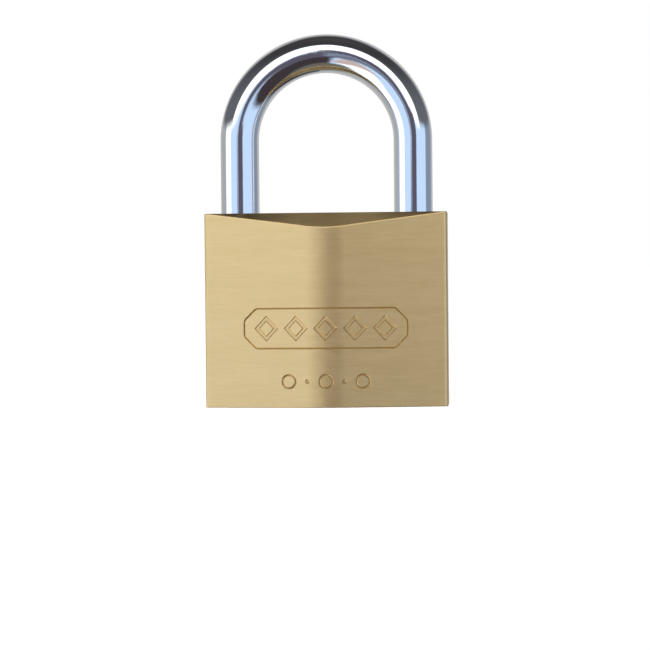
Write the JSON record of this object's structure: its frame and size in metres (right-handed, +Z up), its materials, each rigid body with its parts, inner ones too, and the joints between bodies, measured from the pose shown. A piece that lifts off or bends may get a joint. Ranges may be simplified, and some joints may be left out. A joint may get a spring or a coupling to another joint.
{
  "type": "padlock",
  "caption": "Padlock with a ridged solid brass body, a round steel shackle that lifts, a keyed core and locking bolts drawn in by a cam.",
  "frame": {"origin": "middle of the flat base of the lock body", "axes": "+Z up along the shackle legs, +X towards the toe leg, -Y is the front face"},
  "size_m": [0.05, 0.017, 0.077],
  "materials": {
    "brushed_brass": "pale satin brass, finely brushed from side to side",
    "plain_brass": "plain turned brass",
    "shackle_chrome": "polished chrome over hardened steel",
    "pin_steel": "plain turned steel",
    "spring_steel": "drawn spring wire"
  },
  "bodies": {
    "body": {"lock_body": "brushed_brass", "shackle_spring": "spring_steel", "shackle_retaining_pin": "pin_steel", "core_retaining_pin": "pin_steel", "cross_bore_plug": "plain_brass", "chamber_plug_1": "plain_brass", "chamber_plug_2": "plain_brass", "chamber_plug_3": "plain_brass", "chamber_plug_4": "plain_brass", "chamber_plug_5": "plain_brass", "pin_spring_1": "spring_steel", "pin_spring_2": "spring_steel", "pin_spring_3": "spring_steel", "pin_spring_4": "spring_steel", "pin_spring_5": "spring_steel"},
    "shackle": {"shackle": "shackle_chrome"},
    "core": {"core_plug": "plain_brass", "cam": "pin_steel"},
    "toe_bolt": {"locking_bolt_toe": "pin_steel", "bolt_spring_toe": "spring_steel"},
    "heel_bolt": {"locking_bolt_heel": "pin_steel", "bolt_spring_heel": "spring_steel"},
    "key_pin_1": {"key_pin_1": "plain_brass"},
    "key_pin_2": {"key_pin_2": "plain_brass"},
    "key_pin_3": {"key_pin_3": "plain_brass"},
    "key_pin_4": {"key_pin_4": "plain_brass"},
    "key_pin_5": {"key_pin_5": "plain_brass"},
    "driver_pin_1": {"driver_pin_1": "pin_steel"},
    "driver_pin_2": {"driver_pin_2": "pin_steel"},
    "driver_pin_3": {"driver_pin_3": "pin_steel"},
    "driver_pin_4": {"driver_pin_4": "pin_steel"},
    "driver_pin_5": {"driver_pin_5": "pin_steel"}
  },
  "joints": [
    {"name": "shackle_lift", "type": "slide", "parent": "body", "child": "shackle", "axis": [0, 0, 1], "range_m": [0, 0.0128], "deforming": ["shackle_spring"]},
    {"name": "core_turn", "type": "hinge", "parent": "body", "child": "core", "pos_m": [0, 0, 0.013], "axis": [0, 0, 1], "range_deg": [-90, 0]},
    {"name": "toe_bolt_slide", "type": "slide", "parent": "body", "child": "toe_bolt", "axis": [1, 0, 0], "range_m": [0, 0.002], "deforming": ["bolt_spring_toe"]},
    {"name": "heel_bolt_slide", "type": "slide", "parent": "body", "child": "heel_bolt", "axis": [-1, 0, 0], "range_m": [0, 0.002], "deforming": ["bolt_spring_heel"]},
    {"name": "key_pin_1_slide", "type": "slide", "parent": "core", "child": "key_pin_1", "axis": [0, -1, 0], "range_m": [0, 0.0012]},
    {"name": "key_pin_2_slide", "type": "slide", "parent": "core", "child": "key_pin_2", "axis": [0, -1, 0], "range_m": [0, 0.0012]},
    {"name": "key_pin_3_slide", "type": "slide", "parent": "core", "child": "key_pin_3", "axis": [0, -1, 0], "range_m": [0, 0.0012]},
    {"name": "key_pin_4_slide", "type": "slide", "parent": "core", "child": "key_pin_4", "axis": [0, -1, 0], "range_m": [0, 0.0012]},
    {"name": "key_pin_5_slide", "type": "slide", "parent": "core", "child": "key_pin_5", "axis": [0, -1, 0], "range_m": [0, 0.0012]},
    {"name": "driver_pin_1_slide", "type": "slide", "parent": "body", "child": "driver_pin_1", "axis": [1, 0, 0], "range_m": [0, 0.0012], "stiffness_N_per_m": 60, "deforming": ["pin_spring_1"]},
    {"name": "driver_pin_2_slide", "type": "slide", "parent": "body", "child": "driver_pin_2", "axis": [1, 0, 0], "range_m": [0, 0.0012], "stiffness_N_per_m": 60, "deforming": ["pin_spring_2"]},
    {"name": "driver_pin_3_slide", "type": "slide", "parent": "body", "child": "driver_pin_3", "axis": [1, 0, 0], "range_m": [0, 0.0012], "stiffness_N_per_m": 60, "deforming": ["pin_spring_3"]},
    {"name": "driver_pin_4_slide", "type": "slide", "parent": "body", "child": "driver_pin_4", "axis": [1, 0, 0], "range_m": [0, 0.0012], "stiffness_N_per_m": 60, "deforming": ["pin_spring_4"]},
    {"name": "driver_pin_5_slide", "type": "slide", "parent": "body", "child": "driver_pin_5", "axis": [1, 0, 0], "range_m": [0, 0.0012], "stiffness_N_per_m": 60, "deforming": ["pin_spring_5"]}
  ],
  "couplings": [
    {"joint": "toe_bolt_slide", "follows": "core_turn", "m_per_rad": -0.00127},
    {"joint": "heel_bolt_slide", "follows": "core_turn", "m_per_rad": -0.00127}
  ]
}
